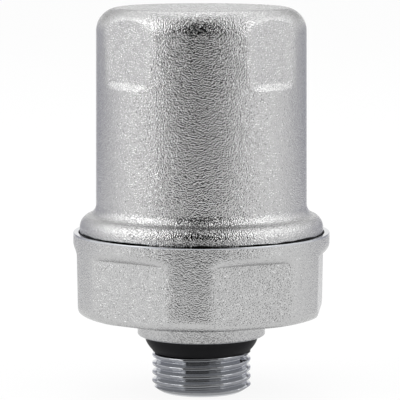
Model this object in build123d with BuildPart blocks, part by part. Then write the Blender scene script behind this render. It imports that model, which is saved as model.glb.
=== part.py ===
from build123d import *
import math
import os

# Compact piston water hammer arrestor for a G 1/2 branch, in millimetres and degrees.
# The origin is the centre of the connection's end face and +Z runs up through the cap.
# Angles are measured about +Z from +X. Threads are plain cylinders at their major size.

# Threaded connection: G 1/2 outside thread with a water port through it
thread_diameter = 20.955
thread_length = 8.43
thread_lead_height = 1.2
thread_lead_depth = 1.7
port_diameter = 12.0
port_edge_chamfer = 0.4

# Rubber connection seal, squeezed on a neck between the thread and the collar
seal_neck_depth = 1.28
seal_height = 3.49
seal_top_wall = 2.8
seal_bottom_wall = 1.25
seal_bulge = 0.3
seal_clearance = 0.02

# Round collar under the drum
collar_diameter = 27.05
collar_height = 4.55
collar_edge_radius = 0.45

# Forged drum of the lower body, with six wrench flats under a round rim
drum_height = 17.5
drum_corner_radius = 2.7
drum_flat_edge_radius = 1.4
rim_wall = 1.1
rim_edge_chamfer = 0.3
wrench_flat_count = 6
wrench_flat_depth = 1.74
wrench_flat_turn = -5.5
wrench_ledge_below_rim = 4.11
wrench_ledge_radius = 2.0
forging_draft = 0.8

# Inside of the lower body: water chamber, joint thread, O-ring pocket and flange recess
chamber_floor_thickness = 3.7
flange_recess_depth = 2.6
flange_clearance = 0.25
joint_clearance = 0.05
joint_end_gap = 0.9
body_o_ring_section = 1.78
body_o_ring_squeeze = 0.2
pocket_clearance = 0.02

# Upper cap: a forged cup, bored as the piston's cylinder, with a flange that seats in the rim
bore_diameter = 38.0
bore_lead_height = 1.6
bore_lead_depth = 0.8
cap_wall = 3.22
skirt_wall = 4.2
cap_height = 49.85
cap_draft = 0.27
cap_top_radius = 4.9
cap_roof_thickness = 3.2
cap_inner_chamfer = 1.5
flange_width = 2.49
flange_height = 3.6
flange_edge_radius = 2.8
flange_root_radius = 2.4
flange_seat_chamfer = 0.3
grip_flat_count = 4
grip_flat_depth = 1.16
grip_flat_turn = 43.8
grip_flat_draft = 1.34
grip_run_out_below_top = 14.79
grip_run_out_angle = 55.0
spring_boss_clearance = 0.6
spring_boss_height = 2.4
spring_boss_chamfer = 0.8

# Moulded polymer piston with two O-ring grooves and a pocket for the spring
piston_clearance = 0.1
piston_length = 21.0
piston_edge_chamfer = 0.5
piston_lift = 1.5
piston_floor_thickness = 3.2
spring_pocket_clearance = 1.0
spring_pocket_chamfer = 0.8
foot_ring_inner_diameter = 24.0
foot_ring_width = 3.5
foot_gap_count = 4
foot_gap_width = 7.0
groove_depth = 2.2
groove_width = 3.3
groove_end_distance = 5.6
piston_o_ring_section = 2.62
bore_contact_clearance = 0.03
groove_contact_clearance = 0.02
ring_bevel_share = 0.3

# Counter spring: closed end coils, ground flat where they bear on the piston and the roof.
# Its round wire is drawn with eight sides, which keeps the long coil light.
spring_wire_diameter = 2.4
spring_mean_diameter = 24.0
spring_active_turns = 5
spring_end_turns = 1
spring_end_pitch_ratio = 1.06
spring_wire_sides = 8

# Edges are picked by their size and height, to this closeness
edge_tolerance = 0.01

# Heights along the axis, worked out from the sizes above
seal_bottom_z = thread_length
collar_bottom_z = seal_bottom_z + seal_height
drum_bottom_z = collar_bottom_z + collar_height
rim_top_z = drum_bottom_z + drum_height
flange_seat_z = rim_top_z - flange_recess_depth
chamber_floor_z = drum_bottom_z + chamber_floor_thickness
joint_bottom_z = chamber_floor_z + joint_end_gap
ledge_z = rim_top_z - wrench_ledge_below_rim
cap_top_z = flange_seat_z + cap_height
roof_z = cap_top_z - cap_roof_thickness
piston_bottom_z = chamber_floor_z + piston_lift
piston_top_z = piston_bottom_z + piston_length
spring_bottom_z = piston_bottom_z + piston_floor_thickness

# Radii across the axis
thread_radius = thread_diameter / 2
port_radius = port_diameter / 2
neck_radius = thread_radius - seal_neck_depth
seal_top_radius = neck_radius + seal_top_wall
seal_bottom_radius = neck_radius + seal_bottom_wall
collar_radius = collar_diameter / 2
bore_radius = bore_diameter / 2
cap_radius = bore_radius + cap_wall
joint_radius = bore_radius + skirt_wall
flange_radius = joint_radius + flange_width
piston_radius = bore_radius - piston_clearance
groove_radius = piston_radius - groove_depth
foot_ring_radius = foot_ring_inner_diameter / 2 + foot_ring_width
recess_radius = flange_radius + flange_clearance
drum_radius = recess_radius + rim_wall
spring_radius = spring_mean_diameter / 2
spring_pocket_radius = spring_radius + spring_wire_diameter / 2 + spring_pocket_clearance
spring_boss_radius = spring_radius - spring_wire_diameter / 2 - spring_boss_clearance
joint_bore_radius = joint_radius + joint_clearance
body_o_ring_height = body_o_ring_section * (1 - body_o_ring_squeeze)
body_o_ring_width = math.pi * body_o_ring_section**2 / 4 / body_o_ring_height
pocket_radius = joint_radius + body_o_ring_width + 2 * pocket_clearance
pocket_floor_z = flange_seat_z - body_o_ring_height - 2 * pocket_clearance

os.makedirs("parts", exist_ok=True)


def squeezed_ring_section(inner, outer, bottom, top):
    """Section of a squeezed O-ring on the XZ plane: a box with its corners bevelled away."""
    bevel = ring_bevel_share * min(outer - inner, top - bottom)
    with BuildSketch(Plane.XZ) as section:
        with Locations(((inner + outer) / 2, (bottom + top) / 2)):
            Rectangle(outer - inner, top - bottom)
        chamfer(section.vertices(), bevel)
    return section.sketch


def bottom_arc_drop(radius, run):
    """Height over which an arc of this radius moves in by run, starting upright."""
    return math.sqrt(radius**2 - (radius - run) ** 2)


def circles_at(part, radius, height):
    """Circular edges of the part that have this radius and lie at this height."""
    return part.edges().filter_by(GeomType.CIRCLE).filter_by(
        lambda e: abs(e.radius - radius) < edge_tolerance and abs(e.center().Z - height) < edge_tolerance
    )


# One wrench flat's cut: an inclined face with a rounded ledge where the rim begins
ledge_top_z = ledge_z + bottom_arc_drop(wrench_ledge_radius, wrench_flat_depth)
ledge_arc_middle = math.acos(1 - wrench_flat_depth / wrench_ledge_radius) / 2
wrench_flat_radius = drum_radius - wrench_flat_depth
cut_outer_radius = drum_radius + drum_corner_radius
flat_draft_run = (ledge_z - drum_bottom_z - drum_flat_edge_radius) * math.tan(math.radians(forging_draft))
ledge_arc_centre = drum_radius - wrench_ledge_radius
flat_foot_radius = wrench_flat_radius - flat_draft_run
flat_foot_z = drum_bottom_z + drum_flat_edge_radius
with BuildPart() as wrench_cut:
    with BuildSketch(Plane.XZ):
        with BuildLine():
            Polyline(
                (drum_radius, ledge_top_z),
                (cut_outer_radius, ledge_top_z),
                (cut_outer_radius, drum_bottom_z),
                (flat_foot_radius - drum_flat_edge_radius, drum_bottom_z),
            )
            RadiusArc(
                (flat_foot_radius - drum_flat_edge_radius, drum_bottom_z),
                (flat_foot_radius, flat_foot_z),
                -drum_flat_edge_radius,
            )
            Line((flat_foot_radius, flat_foot_z), (wrench_flat_radius, ledge_z))
            ThreePointArc(
                (wrench_flat_radius, ledge_z),
                (
                    ledge_arc_centre + wrench_ledge_radius * math.cos(ledge_arc_middle),
                    ledge_top_z - wrench_ledge_radius * math.sin(ledge_arc_middle),
                ),
                (drum_radius, ledge_top_z),
            )
        make_face()
    extrude(amount=drum_radius, both=True)

# Lower body: one forging with the connection, the collar, the drum and the chamber
drum_draft_run = (drum_height - drum_corner_radius) * math.tan(math.radians(forging_draft))
drum_foot_radius = drum_radius - drum_draft_run
with BuildPart() as lower_body:
    with BuildSketch(Plane.XZ):
        with BuildLine():
            Polyline(
                (drum_foot_radius, drum_bottom_z + drum_corner_radius),
                (drum_radius, ledge_top_z),
                (drum_radius, rim_top_z),
                (recess_radius, rim_top_z),
                (recess_radius, flange_seat_z),
                (pocket_radius, flange_seat_z),
                (pocket_radius, pocket_floor_z),
                (joint_bore_radius, pocket_floor_z),
                (joint_bore_radius, chamber_floor_z),
                (port_radius, chamber_floor_z),
                (port_radius, 0),
                (thread_radius - thread_lead_depth, 0),
                (thread_radius, thread_lead_height),
                (thread_radius, seal_bottom_z),
                (neck_radius, seal_bottom_z),
                (neck_radius, collar_bottom_z),
                (collar_radius, collar_bottom_z),
                (collar_radius, drum_bottom_z),
                (drum_foot_radius - drum_corner_radius, drum_bottom_z),
            )
            RadiusArc(
                (drum_foot_radius - drum_corner_radius, drum_bottom_z),
                (drum_foot_radius, drum_bottom_z + drum_corner_radius),
                -drum_corner_radius,
            )
        make_face()
    revolve(axis=Axis.Z)
    with PolarLocations(0, wrench_flat_count, start_angle=wrench_flat_turn):
        add(wrench_cut.part, mode=Mode.SUBTRACT)
    fillet(circles_at(lower_body, collar_radius, collar_bottom_z), collar_edge_radius)
    chamfer(circles_at(lower_body, drum_radius, rim_top_z), rim_edge_chamfer)
    chamfer(circles_at(lower_body, port_radius, 0), port_edge_chamfer)
lower_body.part.label = "lower_body"
export_step(lower_body.part, "parts/lower_body.step")

# Connection seal: a tapered rubber ring between the thread and the collar
seal_inner_radius = neck_radius + seal_clearance
seal_low_z = seal_bottom_z + seal_clearance
seal_high_z = collar_bottom_z - seal_clearance
with BuildPart() as connection_seal:
    with BuildSketch(Plane.XZ):
        with BuildLine():
            Polyline(
                (seal_bottom_radius, seal_low_z),
                (seal_inner_radius, seal_low_z),
                (seal_inner_radius, seal_high_z),
                (seal_top_radius, seal_high_z),
            )
            ThreePointArc(
                (seal_top_radius, seal_high_z),
                (
                    (seal_top_radius + seal_bottom_radius) / 2 + seal_bulge,
                    (seal_low_z + seal_high_z) / 2 - seal_bulge / 2,
                ),
                (seal_bottom_radius, seal_low_z),
            )
        make_face()
    revolve(axis=Axis.Z)
connection_seal.part.label = "connection_seal"
export_step(connection_seal.part, "parts/connection_seal.step")

# Body O-ring: squeezed in the pocket between the lower body and the cap's flange
with BuildPart() as body_o_ring:
    add(
        squeezed_ring_section(
            joint_radius + pocket_clearance,
            pocket_radius - pocket_clearance,
            pocket_floor_z + pocket_clearance,
            flange_seat_z - pocket_clearance,
        )
    )
    revolve(axis=Axis.Z)
body_o_ring.part.label = "body_o_ring"
export_step(body_o_ring.part, "parts/body_o_ring.step")

# Curve of the flange's rounded shoulder, and the drafted wall above it
shoulder_centre_z = flange_seat_z + flange_height
root_centre_radius = cap_radius + flange_root_radius
shoulder_centre_radius = flange_radius - flange_edge_radius
arc_gap = flange_edge_radius + flange_root_radius
arc_run = root_centre_radius - shoulder_centre_radius
arc_rise = math.sqrt(arc_gap**2 - arc_run**2)
arc_angle = math.atan2(arc_rise, arc_run)
root_centre_z = shoulder_centre_z + arc_rise
tangent_point = (
    shoulder_centre_radius + flange_edge_radius * math.cos(arc_angle),
    shoulder_centre_z + flange_edge_radius * math.sin(arc_angle),
)
cap_draft_slope = math.tan(math.radians(cap_draft))
wall_top_z = cap_top_z - cap_top_radius
wall_top_radius = cap_radius - (wall_top_z - root_centre_z) * cap_draft_slope

# One grip flat's cut on the cap: a drafted face that runs out in an S-shaped step
grip_flat_radius = wall_top_radius - grip_flat_depth
grip_draft_run = grip_run_out_below_top * math.tan(math.radians(grip_flat_draft))
run_out_start_radius = grip_flat_radius + grip_draft_run
run_out_top_z = cap_top_z - grip_run_out_below_top
run_out_turn = math.radians(grip_run_out_angle)
run_out_wall_radius = cap_radius - (run_out_top_z - root_centre_z) * cap_draft_slope
run_out_step = run_out_wall_radius - run_out_start_radius
run_out_spread = 1 - math.cos(run_out_turn) - cap_draft_slope * math.sin(run_out_turn)
run_out_arc_radius = run_out_step / 2 / run_out_spread
run_out_arc_run = run_out_arc_radius * (1 - math.cos(run_out_turn))
run_out_arc_height = run_out_arc_radius * math.sin(run_out_turn)
run_out_middle = (run_out_start_radius + run_out_arc_run, run_out_top_z - run_out_arc_height)
run_out_end = (run_out_start_radius + 2 * run_out_arc_run, run_out_top_z - 2 * run_out_arc_height)
half_run = run_out_arc_radius * (1 - math.cos(run_out_turn / 2))
half_height = run_out_arc_radius * math.sin(run_out_turn / 2)
with BuildPart() as grip_cut:
    with BuildSketch(Plane.XZ):
        with BuildLine():
            Polyline(
                run_out_end,
                (flange_radius, run_out_end[1]),
                (flange_radius, cap_top_z + cap_top_radius),
                (grip_flat_radius, cap_top_z + cap_top_radius),
                (grip_flat_radius, cap_top_z),
                (run_out_start_radius, run_out_top_z),
            )
            ThreePointArc(
                (run_out_start_radius, run_out_top_z),
                (run_out_start_radius + half_run, run_out_top_z - half_height),
                run_out_middle,
            )
            ThreePointArc(
                run_out_middle,
                (run_out_end[0] - half_run, run_out_end[1] + half_height),
                run_out_end,
            )
        make_face()
    extrude(amount=cap_radius, both=True)

# Upper cap: outside with flange, wall and rounded top, inside with the cylinder bore
with BuildPart() as upper_cap:
    with BuildSketch(Plane.XZ):
        with BuildLine():
            Polyline(
                (flange_radius, shoulder_centre_z),
                (flange_radius, flange_seat_z + flange_seat_chamfer),
                (flange_radius - flange_seat_chamfer, flange_seat_z),
                (joint_radius, flange_seat_z),
                (joint_radius, joint_bottom_z),
                (bore_radius + bore_lead_depth, joint_bottom_z),
                (bore_radius, joint_bottom_z + bore_lead_height),
                (bore_radius, roof_z),
                (0, roof_z),
                (0, cap_top_z),
                (wall_top_radius - cap_top_radius, cap_top_z),
            )
            RadiusArc(
                (wall_top_radius - cap_top_radius, cap_top_z),
                (wall_top_radius, wall_top_z),
                cap_top_radius,
            )
            Line((wall_top_radius, wall_top_z), (cap_radius, root_centre_z))
            ThreePointArc(
                (cap_radius, root_centre_z),
                (
                    root_centre_radius - flange_root_radius * math.cos(arc_angle / 2),
                    root_centre_z - flange_root_radius * math.sin(arc_angle / 2),
                ),
                tangent_point,
            )
            ThreePointArc(
                tangent_point,
                (
                    shoulder_centre_radius + flange_edge_radius * math.cos(arc_angle / 2),
                    shoulder_centre_z + flange_edge_radius * math.sin(arc_angle / 2),
                ),
                (flange_radius, shoulder_centre_z),
            )
        make_face()
    revolve(axis=Axis.Z)
    with PolarLocations(0, grip_flat_count, start_angle=grip_flat_turn):
        add(grip_cut.part, mode=Mode.SUBTRACT)
    chamfer(circles_at(upper_cap, bore_radius, roof_z), cap_inner_chamfer)
    with BuildSketch(Plane.XY.offset(roof_z - spring_boss_height)):
        Circle(spring_boss_radius)
    extrude(amount=spring_boss_height)
    chamfer(circles_at(upper_cap, spring_boss_radius, roof_z - spring_boss_height), spring_boss_chamfer)
upper_cap.part.label = "upper_cap"
export_step(upper_cap.part, "parts/upper_cap.step")

# Piston: stands on a notched foot ring so that the water reaches its whole face
lower_groove_z = piston_bottom_z + groove_end_distance
upper_groove_z = piston_top_z - groove_end_distance
with BuildPart() as piston:
    with BuildSketch(Plane.XY.offset(piston_bottom_z)):
        Circle(piston_radius)
    extrude(amount=piston_length)
    outer_edges = piston.edges().filter_by(GeomType.CIRCLE)
    chamfer(outer_edges, piston_edge_chamfer)
    with BuildSketch(Plane.XY.offset(spring_bottom_z)):
        Circle(spring_pocket_radius)
    extrude(amount=piston_length, mode=Mode.SUBTRACT)
    chamfer(circles_at(piston, spring_pocket_radius, spring_bottom_z), spring_pocket_chamfer)
    with BuildSketch(Plane.XZ):
        for groove_z in (lower_groove_z, upper_groove_z):
            with Locations((groove_radius + groove_depth, groove_z)):
                Rectangle(2 * groove_depth, groove_width)
    revolve(axis=Axis.Z, mode=Mode.SUBTRACT)
    with BuildSketch(Plane.XY.offset(chamber_floor_z)):
        Circle(foot_ring_radius)
        Circle(foot_ring_inner_diameter / 2, mode=Mode.SUBTRACT)
        with PolarLocations(foot_ring_radius, foot_gap_count):
            Rectangle(foot_ring_radius, foot_gap_width, mode=Mode.SUBTRACT)
    extrude(amount=piston_lift)
piston.part.label = "piston"
export_step(piston.part, "parts/piston.step")

# Piston O-rings: both squeezed between the groove's floor and the cylinder bore
ring_inner_radius = groove_radius + groove_contact_clearance
ring_outer_radius = bore_radius - bore_contact_clearance
ring_section_area = math.pi * piston_o_ring_section**2 / 4
ring_width = ring_section_area / (ring_outer_radius - ring_inner_radius)
for name, groove_z in (("lower_piston_o_ring", lower_groove_z), ("upper_piston_o_ring", upper_groove_z)):
    with BuildPart() as piston_o_ring:
        add(
            squeezed_ring_section(
                ring_inner_radius, ring_outer_radius, groove_z - ring_width / 2, groove_z + ring_width / 2
            )
        )
        revolve(axis=Axis.Z)
    piston_o_ring.part.label = name
    export_step(piston_o_ring.part, f"parts/{name}.step")

# Counter spring: two closed end coils and the open coils between them, ends ground flat
spring_length = roof_z - spring_bottom_z
end_pitch = spring_wire_diameter * spring_end_pitch_ratio
end_height = end_pitch * spring_end_turns
active_height = spring_length - 2 * end_height
with BuildPart() as counter_spring:
    with BuildLine() as wire_path:
        for pitch, height, start_z in (
            (end_pitch, end_height, spring_bottom_z),
            (active_height / spring_active_turns, active_height, spring_bottom_z + end_height),
            (end_pitch, end_height, roof_z - end_height),
        ):
            Helix(pitch=pitch, height=height, radius=spring_radius, center=(0, 0, start_z))
    with BuildSketch(Plane(origin=wire_path.line @ 0, z_dir=wire_path.line % 0)):
        RegularPolygon(spring_wire_diameter / 2, spring_wire_sides)
    sweep(is_frenet=True)
    split(bisect_by=Plane.XY.offset(spring_bottom_z), keep=Keep.TOP)
    split(bisect_by=Plane.XY.offset(roof_z), keep=Keep.BOTTOM)
counter_spring.part.label = "counter_spring"
export_step(counter_spring.part, "parts/counter_spring.step")
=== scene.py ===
import math

import bmesh
import bpy
from bpy.props import FloatProperty, FloatVectorProperty, IntProperty, PointerProperty, StringProperty
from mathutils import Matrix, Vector


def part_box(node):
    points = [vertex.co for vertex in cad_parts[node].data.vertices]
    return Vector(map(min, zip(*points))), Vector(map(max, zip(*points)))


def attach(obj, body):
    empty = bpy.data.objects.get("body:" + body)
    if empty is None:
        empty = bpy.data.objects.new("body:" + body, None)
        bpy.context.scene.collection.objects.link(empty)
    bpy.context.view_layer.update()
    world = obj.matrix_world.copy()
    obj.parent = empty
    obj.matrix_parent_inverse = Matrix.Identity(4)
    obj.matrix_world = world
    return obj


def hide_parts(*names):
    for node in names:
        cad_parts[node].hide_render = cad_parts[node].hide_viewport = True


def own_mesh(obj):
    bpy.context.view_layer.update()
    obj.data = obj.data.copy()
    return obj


bl_info = {
    "name": "Water Hammer Arrestor",
    "version": (1, 0, 0),
    "blender": (4, 5, 0),
    "location": "3D View > Sidebar > Arrestor",
    "description": "Builds a compact piston water hammer arrestor with its satin chrome finish",
    "category": "Add Mesh",
}

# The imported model: every place below is worked out from its boxes
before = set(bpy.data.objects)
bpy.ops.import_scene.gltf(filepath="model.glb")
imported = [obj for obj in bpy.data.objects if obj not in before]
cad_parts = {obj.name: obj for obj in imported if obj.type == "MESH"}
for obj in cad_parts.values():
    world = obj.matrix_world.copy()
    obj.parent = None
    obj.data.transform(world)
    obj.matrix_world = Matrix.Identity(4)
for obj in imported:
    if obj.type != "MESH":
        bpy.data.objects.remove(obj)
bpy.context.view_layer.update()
MM = 0.001
HOUSING = "housing"
MOVING = "piston_assembly"
TINY = 1e-7

RIM_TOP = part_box("lower_body")[1][2]
DRUM_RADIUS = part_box("lower_body")[1][0]
CAP_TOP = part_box("upper_cap")[1][2]
SKIRT_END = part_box("upper_cap")[0][2]
FLANGE_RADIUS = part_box("upper_cap")[1][0]
SEAL_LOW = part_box("connection_seal")[0][2]
SEAL_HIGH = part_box("connection_seal")[1][2]
SEAL_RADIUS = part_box("connection_seal")[1][0]
PISTON_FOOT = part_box("piston")[0][2]
PISTON_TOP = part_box("piston")[1][2]
PISTON_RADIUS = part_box("piston")[1][0]
SPRING_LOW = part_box("counter_spring")[0][2]
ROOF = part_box("counter_spring")[1][2]


def length(name, description, millimetres):
    """A length that a user can change, with its default given in millimetres."""
    return FloatProperty(
        name=name, description=description, default=millimetres * MM, unit="LENGTH", precision=5
    )


def angle(name, description, degrees):
    """An angle that a user can change, with its default given in degrees."""
    return FloatProperty(
        name=name, description=description, default=math.radians(degrees), unit="ROTATION", precision=4
    )


def count(name, description, number):
    """A whole number that a user can change."""
    return IntProperty(name=name, description=description, default=number, min=1)


def linear(code):
    """Linear colour of an sRGB hex code."""
    parts = [int(code[i : i + 2], 16) / 255 for i in (1, 3, 5)]
    return [c / 12.92 if c <= 0.04045 else ((c + 0.055) / 1.055) ** 2.4 for c in parts]


def colour(name, description, code):
    """A colour that a user can change, with its default given as an sRGB hex code."""
    return FloatVectorProperty(
        name=name, description=description, default=linear(code), subtype="COLOR", size=3, min=0, max=1
    )


class ThreadSizes(bpy.types.PropertyGroup):
    crest_diameter: length("Crest diameter", "Outside diameter of the G 1/2 thread", 20.955)
    pitch: length("Pitch", "Distance from one ridge to the next", 1.814)
    depth: length("Depth", "Height of the ridges", 1.0)
    narrowing: FloatProperty(
        name="Groove narrowing", description="1 is an even wave, more gives broad ridges", default=1.5
    )
    height: length("Length", "Length of the threaded nipple", 8.43)
    lead_height: length("Lead height", "Height of the chamfer at the open end", 1.2)
    lead_depth: length("Lead depth", "Depth of the chamfer at the open end", 1.7)
    first_crest: length("First crest", "Height of the lowest ridge on the +X side", 1.25)
    notch_turn: angle("Notch turn", "Angle of the notch that ends the topmost ridge", 335)
    notch_width: length("Notch width", "Width of that notch", 1.3)
    notch_height: length("Notch height", "Height of its lower end", 6.9)
    port_diameter: length("Port diameter", "Bore that the water comes through", 12.0)
    port_chamfer: length("Port chamfer", "Chamfer at the mouth of the port", 0.4)
    steps_round: count("Steps round", "Faces in one turn of the thread", 256)
    steps_up: count("Steps up", "Rows of faces along the thread", 144)


class BodySizes(bpy.types.PropertyGroup):
    neck_diameter: length("Neck diameter", "Groove that holds the connection seal", 18.4)
    collar_diameter: length("Collar diameter", "Round collar above the seal", 27.05)
    collar_bottom: length("Collar bottom", "Height of the collar's lower face", 11.92)
    collar_edge: length("Collar edge", "Rounding of the collar's lower edge", 0.45)
    drum_bottom: length("Drum bottom", "Height of the drum's lower face", 16.47)
    corner_radius: length("Corner radius", "Rounding of the drum's lower corner", 2.7)
    rim_edge: length("Rim edge", "Rounding of the rim's upper edges", 0.12)
    rim_land: length("Rim land", "Height of the turned land at the top of the rim", 0.34)
    floor_height: length("Chamber floor", "Height of the water chamber's floor", 20.17)
    joint_diameter: length("Joint bore", "Bore that takes the cap's skirt", 46.5)
    pocket_diameter: length("Pocket diameter", "Pocket of the joint's O-ring", 49.98)
    pocket_floor: length("Pocket floor", "Height of the O-ring pocket's floor", 29.9)
    recess_diameter: length("Recess diameter", "Recess that takes the cap's flange", 51.88)
    seat_height: length("Seat height", "Height of the face that the flange seats on", 31.37)
    flats: count("Wrench flats", "Number of flats on the drum", 6)
    flat_depth: length("Flat depth", "Depth of the flats under the rim", 1.74)
    flat_turn: angle("Flat turn", "Angle of the first flat from +X", -5.5)
    flat_edge: length("Flat foot", "Rounding at the foot of each flat", 1.4)
    flat_blend: length("Flat blend", "How softly the flats run into the drum", 0.3)
    ledge_height: length("Ledge height", "Height of the ledge over each flat", 29.86)
    ledge_radius: length("Ledge radius", "Rounding of the rim down to the ledge", 2.0)
    draft: angle("Draft", "Forging draft of the drum and its flats", 0.8)


class CapSizes(bpy.types.PropertyGroup):
    bore_diameter: length("Bore", "Cylinder that the piston runs in", 38.0)
    foot_diameter: length("Foot diameter", "Diameter of the wall above the flange", 44.44)
    draft: angle("Draft", "Forging draft of the wall", 0.27)
    top_radius: length("Top radius", "Rounding between wall and top", 4.9)
    top_crown: length("Top crown", "How far the top sinks towards its edge", 0.05)
    roof_thickness: length("Roof", "Thickness of the roof", 3.2)
    skirt_diameter: length("Skirt diameter", "Outside of the skirt in the body", 46.4)
    seat_height: length("Seat height", "Height of the flange's seat", 31.37)
    flange_height: length("Flange height", "Height of the flange's upright edge", 3.6)
    flange_edge: length("Flange edge", "Rounding of the flange's shoulder", 2.8)
    flange_root: length("Flange root", "Rounding between flange and wall", 2.4)
    flats: count("Grip flats", "Number of flats near the top", 4)
    flat_depth: length("Flat depth", "Depth of the grip flats at the top", 1.16)
    flat_turn: angle("Flat turn", "Angle of the first flat from +X", 43.8)
    flat_draft: angle("Flat draft", "How fast the flats grow shallower downwards", 1.34)
    flat_blend: length("Flat blend", "How softly the flats run into the wall", 0.3)
    run_out: length("Run-out", "Where the flats end, below the top", 14.79)
    run_out_height: length("Run-out height", "Height of the step that ends a flat", 1.7)
    boss_diameter: length("Boss diameter", "Boss that centres the spring", 20.4)
    boss_height: length("Boss height", "Height of that boss", 2.4)


class SealSizes(bpy.types.PropertyGroup):
    neck_diameter: length("Neck diameter", "Inside of the seal", 18.44)
    lower_diameter: length("Lower diameter", "Outside of the seal at its lower face", 20.9)
    bulge: length("Bulge", "How far the flank bows out", 0.3)
    edge: length("Edge", "Rounding of the moulded edges", 0.35)


class PistonSizes(bpy.types.PropertyGroup):
    foot_height: length("Foot height", "Height of the notched foot ring", 1.5)
    foot_diameter: length("Foot diameter", "Outside of the foot ring", 31.0)
    foot_width: length("Foot width", "Width of the foot ring", 3.5)
    foot_gap: length("Foot gap", "Width of the notches in the foot ring", 7.0)
    foot_gaps: count("Foot gaps", "Number of notches in the foot ring", 4)
    floor: length("Floor", "Thickness under the spring", 3.2)
    pocket_diameter: length("Pocket diameter", "Pocket that the spring stands in", 28.4)
    groove_distance: length("Groove distance", "Middle of each groove from the piston's end", 5.6)
    groove_width: length("Groove width", "Width of the O-ring grooves", 3.3)
    groove_depth: length("Groove depth", "Depth of the O-ring grooves", 2.2)
    edge: length("Edge", "Rounding of the piston's edges", 0.5)


class RingSizes(bpy.types.PropertyGroup):
    joint_inner: length("Joint ring inside", "Inside diameter of the joint's O-ring", 46.44)
    piston_inner: length("Piston ring inside", "Inside diameter of the piston's O-rings", 33.44)
    squareness: FloatProperty(
        name="Squareness", description="2 is an ellipse, more is a squeezed ring", default=2.8
    )


class SpringSizes(bpy.types.PropertyGroup):
    wire: length("Wire", "Diameter of the wire", 2.4)
    mean_diameter: length("Mean diameter", "Diameter of the coil's centre line", 24.0)
    active_turns: count("Active turns", "Turns that are open", 5)
    end_turns: count("End turns", "Closed turns at each end", 1)
    closeness: FloatProperty(
        name="End pitch", description="Pitch of the closed turns, in wire diameters", default=1.06
    )


class FinishColours(bpy.types.PropertyGroup):
    chrome: colour("Chrome", "Chrome plate", "#C1C1C1")
    bright_chrome: colour("Bright chrome", "Chrome plate over turned faces", "#C3C5C9")
    brass: colour("Brass", "Turned brass inside", "#D9B46A")
    rubber: colour("Rubber", "Moulded rubber", "#1A1A1C")
    steel: colour("Steel", "Spring wire", "#A7A8AA")
    acetal: colour("Acetal", "Natural acetal", "#E6E4DA")
    floor: colour("Floor", "Floor and surroundings", "#FFFFFF")


class StageSizes(bpy.types.PropertyGroup):
    camera_distance: length("Camera distance", "From the axis to the camera", 565.6)
    camera_height: length("Camera height", "Above the floor", 108.36)
    camera_side: length("Camera side", "Offset of the camera to the side", -0.294)
    camera_tilt: angle("Camera tilt", "How far the camera looks down", 6.836)
    lens: FloatProperty(name="Lens", description="Focal length in millimetres", default=243.02)


class ArrestorSettings(bpy.types.PropertyGroup):
    thread: PointerProperty(type=ThreadSizes)
    body: PointerProperty(type=BodySizes)
    cap: PointerProperty(type=CapSizes)
    seal: PointerProperty(type=SealSizes)
    piston: PointerProperty(type=PistonSizes)
    rings: PointerProperty(type=RingSizes)
    spring: PointerProperty(type=SpringSizes)
    finish: PointerProperty(type=FinishColours)
    stage: PointerProperty(type=StageSizes)
    name_tail: StringProperty(name="Name tail", description="Added to each piece's name", default="")


# Outlines are lists of (radius, height) points, in metres


def straight(start, end, steps):
    """Points from start up to, but not including, end."""
    return [
        (start[0] + (end[0] - start[0]) * i / steps, start[1] + (end[1] - start[1]) * i / steps)
        for i in range(steps)
    ]


def arc(centre, radius, start, end, steps):
    """Points on a circle from the start angle to the end angle, in degrees, both included."""
    points = []
    for i in range(steps + 1):
        turn = math.radians(start + (end - start) * i / steps)
        points.append((centre[0] + radius * math.cos(turn), centre[1] + radius * math.sin(turn)))
    return points


def turned(name, outline, sections, shape=None):
    """A closed skin made by carrying an outline round the axis.

    An outline that starts and ends on the axis gets a pole at each end, and any other one is closed
    into a ring. The shape function gives the radius for a point's radius, height and angle.
    """
    poles = outline[0][0] < TINY
    rows = outline[1:-1] if poles else outline
    skin = bmesh.new()
    grid = []
    for radius, height in rows:
        ring = []
        for step in range(sections):
            turn = 2 * math.pi * step / sections
            reach = shape(radius, height, turn) if shape else radius
            ring.append(skin.verts.new((reach * math.cos(turn), reach * math.sin(turn), height)))
        grid.append(ring)
    pairs = list(zip(grid, grid[1:]))
    if not poles:
        pairs.append((grid[-1], grid[0]))
    for one, other in pairs:
        for step in range(sections):
            after = (step + 1) % sections
            skin.faces.new((one[step], one[after], other[after], other[step]))
    if poles:
        for ring, end in ((grid[0], outline[0]), (grid[-1], outline[-1])):
            pole = skin.verts.new((0, 0, end[1]))
            for step in range(sections):
                skin.faces.new((pole, ring[step], ring[(step + 1) % sections]))
    return finished(name, skin)


def finished(name, skin):
    """A smooth object from a bmesh, with its faces pointing outwards and its real edges kept sharp."""
    bmesh.ops.recalc_face_normals(skin, faces=skin.faces)
    mesh = bpy.data.meshes.new(name)
    skin.to_mesh(mesh)
    skin.free()
    mesh.shade_smooth()
    mesh.set_sharp_from_angle(angle=math.radians(38))
    piece = bpy.data.objects.new(name, mesh)
    bpy.context.scene.collection.objects.link(piece)
    return piece


def dressed(piece, body, nodes, materials, chooser=None):
    """Gives a piece its materials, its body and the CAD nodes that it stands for."""
    for material in materials:
        piece.data.materials.append(material)
    if chooser:
        for face in piece.data.polygons:
            centre = face.center
            face.material_index = chooser(math.hypot(centre.x, centre.y), centre.z)
    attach(piece, body)
    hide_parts(*nodes)


def soft_cut(radius, plane, blend):
    """How much of a radius a flat takes away, with its edge blended over a short stretch."""
    over = radius - plane
    if over <= -blend:
        return 0.0
    if over >= blend:
        return over
    return (over + blend) ** 2 / (4 * blend)


def off_flat(turn, flats, first):
    """Angle between a direction and the middle of the nearest of some evenly spaced flats."""
    step = 2 * math.pi / flats
    return (turn - first + step / 2) % step - step / 2


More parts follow.
